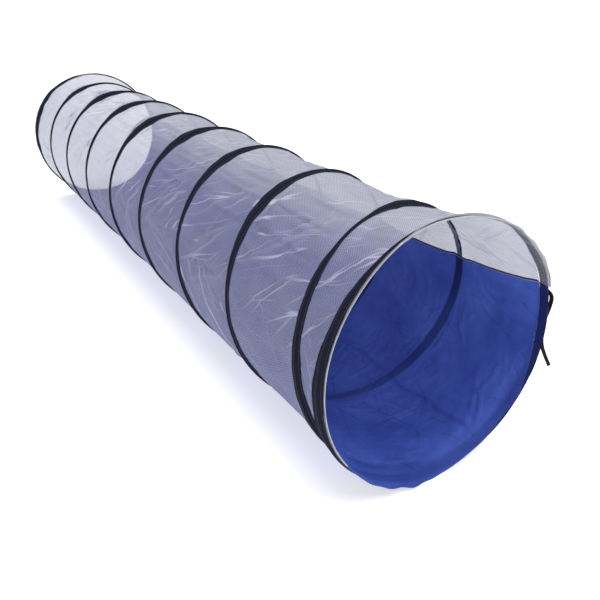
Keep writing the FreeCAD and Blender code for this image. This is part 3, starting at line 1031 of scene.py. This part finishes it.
def make_fabric():
    """Net, nylon and seam tapes of every span."""
    fabric = Fabric()
    floor = slice(0, fabric.left_column + 1)
    net = slice(fabric.left_column, fabric.last_column + 1)
    panels = (
        ("net", net, NET, "net", NET_ANGLES),
        ("floor", floor, NYLON, "nylon_floor", FLOOR_ANGLES),
    )
    for number in range(1, TURNS + 1):
        for kind, columns, material, slot, (first, last) in panels:
            panel = fabric.panel(f"{kind}_cloth_{number}", number, columns)
            paint(panel, material)
            squash_span(panel, number, panel_limits)
            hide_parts(f"{kind}_panel_{number}")
        for side, column in (("left", fabric.left_column), ("right", 0)):
            seam = fabric.seam(f"seam_{side}_strip_{number}", number, column)
            paint(seam, SEAM)
            squash_span(seam, number, panel_limits)
            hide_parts(f"seam_{side}_{number}")


make_fabric()


# -------------------- casings and wires

# Places across half a tape's width, from its middle at 0 to its edge at 1.
HALF_TAPE_STEPS = (0.15, 0.3, 0.48, 0.72, 0.93, 1.0)
TAPE_STEPS = tuple(-step for step in HALF_TAPE_STEPS[::-1]) + (0.0,) + HALF_TAPE_STEPS

# The tape's thickness at its edges, its gap to the cloth and how wide its raised middle is.
TAPE_EDGE = 0.0012
TAPE_GAP = 0.0005
BULGE_SPREAD = 0.42
BELOW_CAD_TOP = 0.0006

# How much a tape's edges wander, as a share of its width, and how far they lift in places.
EDGE_WANDER = 0.06
EDGE_LIFT = 0.0007
TURN_UNEVENNESS = 1.2
RING_UNEVENNESS = 3.2

# A ring's tape ends this far from the lip of the opening, more or less.
LIP_GAP = 0.0014
LIP_WANDER = 0.0004

# The helix starts beside the front ring's tape, this much further out than the rest of it.
START_LIFT = 0.0008

# Waves in the edges of tapes and hems, as how many go once round.
SLOW_WAVES = (1, 2, 3, 5)
QUICK_WAVES = (9, 13, 17, 22, 31)

TURN_ROWS = 260
WIRE_SIDES = 8


def tape_tube(name, turns, along, fabric_radius, outside_radius, height, seed, unevenness,
              lean, spread, lip_side=None):
    """Tape folded over the wire, with a raised middle and flat stitched edges.

    turns counts turns from the bottom, and along is where the wire is at each of them.
    unevenness scales how much the edges wander. lean is in degrees about the wire. A ring's
    tape joins up, and reaches the lip of the opening on its lip side: 0 front, 1 rear.
    """
    closed = lip_side is not None
    cosine = np.cos(np.radians(lean))
    sine = np.sin(np.radians(lean))
    wandering = [wander(turns, SLOW_WAVES + QUICK_WAVES, seed + side) for side in (0, 1)]
    lift = [np.maximum(wander(turns, SLOW_WAVES + QUICK_WAVES[:2], seed + 2 + side), 0)
            for side in (0, 1)]
    rise = outside_radius - fabric_radius - TAPE_EDGE - TAPE_GAP - BELOW_CAD_TOP
    section = [(step, True) for step in TAPE_STEPS] + [(step, False) for step in TAPE_STEPS[::-1]]
    points = []
    widths = []
    for step, outer in section:
        side = 0 if step < 0 else 1
        half = spread * TAPE_WIDTH / 2 * (1 + EDGE_WANDER * unevenness * wandering[side])
        if side == lip_side:
            half = RING_MIDDLE - LIP_GAP + LIP_WANDER * wandering[side]
        across = step * half
        bulge = rise * math.exp(-((step / BULGE_SPREAD) ** 2))
        raised = lift[side] * EDGE_LIFT * unevenness * max(abs(step) - 0.3, 0) / 0.7
        out = TAPE_GAP + raised + (TAPE_EDGE + bulge if outer else 0)
        if not closed:
            out = out + START_LIFT * (1 - smoothstep(0.03, 0.09, turns))
        points.append(round_point(
            turns * 360,
            along + across * cosine - out * sine,
            fabric_radius + across * sine + out * cosine,
            height,
        ))
        widths.append(across)
    points = on_floor(np.stack(points, 1))
    widths = np.stack(widths + widths[:1], 1)
    once_round = 2 * math.pi * outside_radius
    uvs = uv_grid((turns * once_round)[:, None], widths)
    if closed:
        uvs = np.concatenate([uvs, uvs[:1] + (once_round, 0)])
    return grid_mesh(name, points, uvs, wrap_rows=closed, wrap_columns=True, caps=not closed)


def wire_tube(name, turns, along):
    """A round wire along one turn of the helix."""
    points = np.stack([
        round_point(
            turns * 360,
            along - WIRE_RADIUS * math.sin(turn),
            WIRE_LINE + WIRE_RADIUS * math.cos(turn),
            TURN_HEIGHT,
        )
        for turn in around(WIRE_SIDES)
    ], 1)
    across = np.linspace(0, 2 * math.pi * WIRE_RADIUS, WIRE_SIDES + 1)
    uvs = uv_grid((turns * 2 * math.pi * WIRE_LINE)[:, None], across)
    return grid_mesh(name, points, uvs, wrap_columns=True, caps=True)


def make_turns():
    """The tape and the wire of every turn of the helix."""
    for number in range(1, TURNS + 1):
        turns = number - 1 + np.linspace(0, 1, TURN_ROWS + 1)
        along = helix_place(turns)
        tape = tape_tube(f"turn_tape_{number}", turns, along, TURN_FABRIC, TURN_RADIUS,
                         TURN_HEIGHT, SEED + 30, TURN_UNEVENNESS, turn_lean(turns), TAPE_SPREAD)
        paint(tape, CASING)
        squash_span(tape, number, turn_limits)
        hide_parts(f"casing_turn_{number}")
        wire = wire_tube(f"turn_wire_{number}", turns, along)
        paint(wire, STEEL)
        squash_span(wire, number, turn_limits)
        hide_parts(f"spring_turn_{number}")


make_turns()


# -------------------- the two ends

EDGE_CELLS = 140
RING_ROWS = 320

# How far the fabric is turned back over the casing, where it is only just turned.
SHORT_FLAP = 0.0028

# The bend of the fabric's folded edge, as (inwards, outwards) from its outer side, in folds.
FOLD = 0.0017
FOLD_BEND = ((0.5, 0.0), (-0.35, -0.35), (-0.6, -1.0), (-0.35, -1.65), (0.5, -2.0))

# An edge that stands out beyond the ring also flares by this share of how far it does.
FLARE = 0.25

# How uneven an edge is, as a share of how far it stands out, and how far it flutters.
EDGE_UNEVENNESS = 0.22
FLUTTER = 0.0009
FLAP_LIFT = 0.0006

TRIM_SIDES = 12
TRIM_WIDTH = 0.0032
TRIM_THICKNESS = 0.0024
TRIM_DEPTH = 0.0004
TRIM_HEIGHT = 0.0018


class End:
    """One open end of the tunnel. Depth is measured inwards from its edge."""

    def __init__(self, name):
        self.name = name
        self.body = f"{name}_end"
        self.inwards = 1 if name == "front" else -1
        self.edge = FRONT if name == "front" else REAR
        self.seed = SEED + (60 if name == "front" else 80)
        self.tape_spread = RING_TAPE_SPREAD[name]

    def place(self, depth):
        return self.edge + self.inwards * depth

    def carried(self, depth, angles):
        """How far outwards the leaning tape carries the fabric at a depth."""
        behind_wire = self.inwards * (depth - RING_MIDDLE)
        return leaning(behind_wire, self.lean(angles))

    def lean(self, angles):
        """The lean of this ring's tape at an angle."""
        return swellings(angles % 360, RING_LEAN[self.name])

    def tape_height(self, depth):
        """How high the ring's tape stands at a depth, above its flat edges."""
        step = (depth - RING_MIDDLE) / (self.tape_spread * TAPE_WIDTH / 2)
        return (RING_RADIUS - RING_FABRIC - 2 * FOLD) * np.exp(-((step / BULGE_SPREAD) ** 2))


def net_reach(angles):
    """How far the net's edge stands out beyond the ring: most over the top right."""
    return 0.0004 + 0.0096 * smoothstep(150, 215, angles)


def floor_reach(angles):
    """How far the nylon's edge stands out beyond the ring: it droops at the bottom left.

    At the right it is drawn in a little, so that the casing's edge shows.
    """
    droop = np.exp(-(((angles - 20) / 22) ** 2))
    return 0.0130 * droop - 0.0040 * (1 - smoothstep(-45, -5, angles))


def net_flap(angles):
    """How far the net is turned back over the casing: all the way over the top right."""
    return SHORT_FLAP + 0.0300 * smoothstep(150, 178, angles)


def floor_flap(angles):
    """How far the nylon is turned back over the casing: only just."""
    return SHORT_FLAP + 0 * angles


def floor_band(angles):
    """How deep the ring's casing is painted dark on the nylon, as the tape showing through and its
    painted shade: all of it at the right, then less.
    """
    return -0.030 + (HEM + 0.030) * (1 - smoothstep(-95, -10, angles))


def no_band(angles):
    """No casing shade is painted on the net."""
    return 0 * angles - 1.0


def hem_shade(angles):
    """How dark the ring's casing is painted on the nylon hem, as the tape showing through and its
    painted shade: most at the right.
    """
    return 1 - 0.75 * smoothstep(-80, -20, angles)


def hem_sheet(end, name, limits, reach, flap_length, band_width):
    """The fabric inside the ring, and its edge turned out over the front of the ring.

    Gives also its angles, how far its edge stands out at each, and how deep it was cut.
    """
    angles = np.linspace(*limits, EDGE_CELLS + 1)
    uneven = wander(angles / 360, SLOW_WAVES + QUICK_WAVES, end.seed)
    edge = reach(angles) * (1 + EDGE_UNEVENNESS * uneven)
    flap = flap_length(angles)
    outer = RING_FABRIC + 2 * FOLD
    profile = []
    for share in np.linspace(1, 0.125, 8):
        depth = flap * share - edge
        profile.append((depth, outer + FLAP_LIFT * share + end.tape_height(depth)))
    profile += [(FOLD * inwards - edge, outer + FOLD * out) for inwards, out in FOLD_BEND]
    profile.append(((HEM * 0.35 - edge) / 2, RING_FABRIC))
    profile += [(HEM * share + 0 * angles, RING_FABRIC) for share in (0.35, 0.6, 0.8, 1.0)]
    flutter = wander(angles / 360, QUICK_WAVES, end.seed + 5) * FLUTTER
    points = []
    for depth, radius in profile:
        fluttering = flutter * np.clip(-depth / 0.01, 0, 1)
        moved = fluttering + FLARE * np.maximum(-depth, 0) + end.carried(depth, angles)
        points.append(round_point(angles, end.place(depth), radius + moved, RING_HEIGHT))
    points = on_floor(np.stack(points))
    steps = np.linalg.norm(np.diff(points, axis=0), axis=-1).mean(axis=1)
    walked = np.append(0, np.cumsum(steps))
    uvs = uv_grid(np.radians(angles) * RING_FABRIC, walked[:, None])
    depths = np.stack([depth for depth, _ in profile])
    values = {
        "crease": np.zeros(depths.shape),
        "band": np.broadcast_to(hem_shade(angles), depths.shape),
        "from_casing": depths - band_width(angles),
    }
    if end.inwards < 0:
        points, uvs = points[::-1], uvs[::-1]
        values = {label: numbers[::-1] for label, numbers in values.items()}
    cut_depth = HEM + float(np.mean(edge + flap))
    return grid_mesh(name, points, uvs, values=values), angles, edge, cut_depth


def make_trim(end, angles, edge):
    """The net's overlocked edge: a flat bead of thread round its fold."""
    centre = TRIM_DEPTH - edge
    flared = FLARE * np.maximum(edge, 0) + end.carried(centre, angles)
    radius = RING_FABRIC + TRIM_HEIGHT + flared
    points = []
    sides = []
    for turn in around(TRIM_SIDES):
        side = TRIM_WIDTH / 2 * math.cos(turn)
        out = radius + TRIM_THICKNESS / 2 * math.sin(turn)
        points.append(round_point(angles, end.place(centre + side), out, RING_HEIGHT))
        sides.append(side)
    points = on_floor(np.stack(points, 1))
    uvs = tube_uvs(np.radians(angles) * RING_FABRIC, sides)
    trim = grid_mesh(f"{end.name}_edge_bead", points, uvs, wrap_columns=True, caps=True)
    paint(trim, TRIM)
    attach(trim, end.body)
    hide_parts(f"{end.name}_trim")
    return trim


HEMS = (
    ("net", NET_ANGLES, net_reach, net_flap, no_band, HEM_NET, "net"),
    ("floor", FLOOR_ANGLES, floor_reach, floor_flap, floor_band, NYLON, "nylon_floor"),
)


def make_end(end):
    """Ring casing, hems and trim of one end. The wire in the ring stays the CAD's."""
    turns = np.linspace(0, 1, RING_ROWS, endpoint=False)
    tape = tape_tube(f"{end.name}_ring_tape", turns, end.place(RING_MIDDLE + 0 * turns),
                     RING_FABRIC, RING_RADIUS, RING_HEIGHT, end.seed, RING_UNEVENNESS,
                     end.lean(turns * 360), end.tape_spread, 0 if end.inwards > 0 else 1)
    paint(tape, CASING)
    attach(tape, end.body)
    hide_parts(f"{end.name}_ring_casing")
    ring_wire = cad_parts[f"{end.name}_ring_wire"].data
    ring_wire.materials.clear()
    ring_wire.materials.append(STEEL)

    for kind, limits, reach, flap, band, material, slot in HEMS:
        name = f"{end.name}_{kind}_edge"
        hem, angles, edge, depth = hem_sheet(end, name, limits, reach, flap, band)
        paint(hem, material)
        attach(hem, end.body)
        trims = [make_trim(end, angles, edge)] if kind == "net" else []
        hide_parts(f"{end.name}_hem_{kind}")


for end_name in ("front", "rear"):
    make_end(End(end_name))


# -------------------- floor, light and world

FLOOR_HALF = 400.0
FLOOR_GLOW = 0.55
SOFT_LIGHT = 0.46
SEEN_WHITE = 1.0

# Each lamp is (name, strength, width in degrees, tilt from overhead, heading).
LAMPS = (("key", 2.6, 60, 14, 40), ("fill", 0.45, 50, 62, -30))


def make_floor():
    """A plain white floor that glows a little, so that it looks like the paper it stands for."""
    shader = Shader("studio_floor")
    place = shader.node("TexCoord").outputs["Object"]
    grey = shader.mix(shader.noise(place, 0.5, 2.0), (0.78, 0.78, 0.78, 1), (0.80, 0.80, 0.80, 1))
    diffuse = shader.node("BsdfDiffuse", {"Color": grey}).outputs[0]
    glow = shader.node("Emission", {"Color": (1, 1, 1, 1), "Strength": FLOOR_GLOW}).outputs[0]
    material = shader.surface(shader.node("AddShader", {0: diffuse, 1: glow}).outputs[0])
    mesh = bpy.data.meshes.new("studio_floor")
    corners = [(FLOOR_HALF * x, FLOOR_HALF * y, 0) for x, y in ((-1, -1), (1, -1), (1, 1), (-1, 1))]
    mesh.from_pydata(corners, [], [(0, 1, 2, 3)])
    floor = new_object("studio_floor", mesh)
    floor.data.materials.append(material)


def make_world():
    """The paper behind the tunnel is seen white, though it gives only a soft light."""
    world = bpy.data.worlds.new("studio")
    world.use_nodes = True
    nodes = world.node_tree.nodes
    links = world.node_tree.links
    choice = nodes.new("ShaderNodeMixShader")
    links.new(nodes.new("ShaderNodeLightPath").outputs["Is Camera Ray"], choice.inputs[0])
    given = nodes["Background"]
    seen = nodes.new("ShaderNodeBackground")
    for socket, background, strength in ((1, given, SOFT_LIGHT), (2, seen, SEEN_WHITE)):
        background.inputs["Color"].default_value = (1.0, 1.0, 1.0, 1)
        background.inputs["Strength"].default_value = strength
        links.new(background.outputs[0], choice.inputs[socket])
    links.new(choice.outputs[0], nodes["World Output"].inputs["Surface"])
    bpy.context.scene.world = world


def make_lamps():
    for name, strength, width, tilt, heading in LAMPS:
        lamp = bpy.data.lights.new(name, "SUN")
        lamp.energy = strength
        lamp.angle = math.radians(width)
        sun = new_object(name, lamp)
        sun.rotation_euler = (math.radians(tilt), 0, math.radians(heading))


make_floor()
make_world()
make_lamps()
bpy.context.scene.view_settings.view_transform = "Standard"
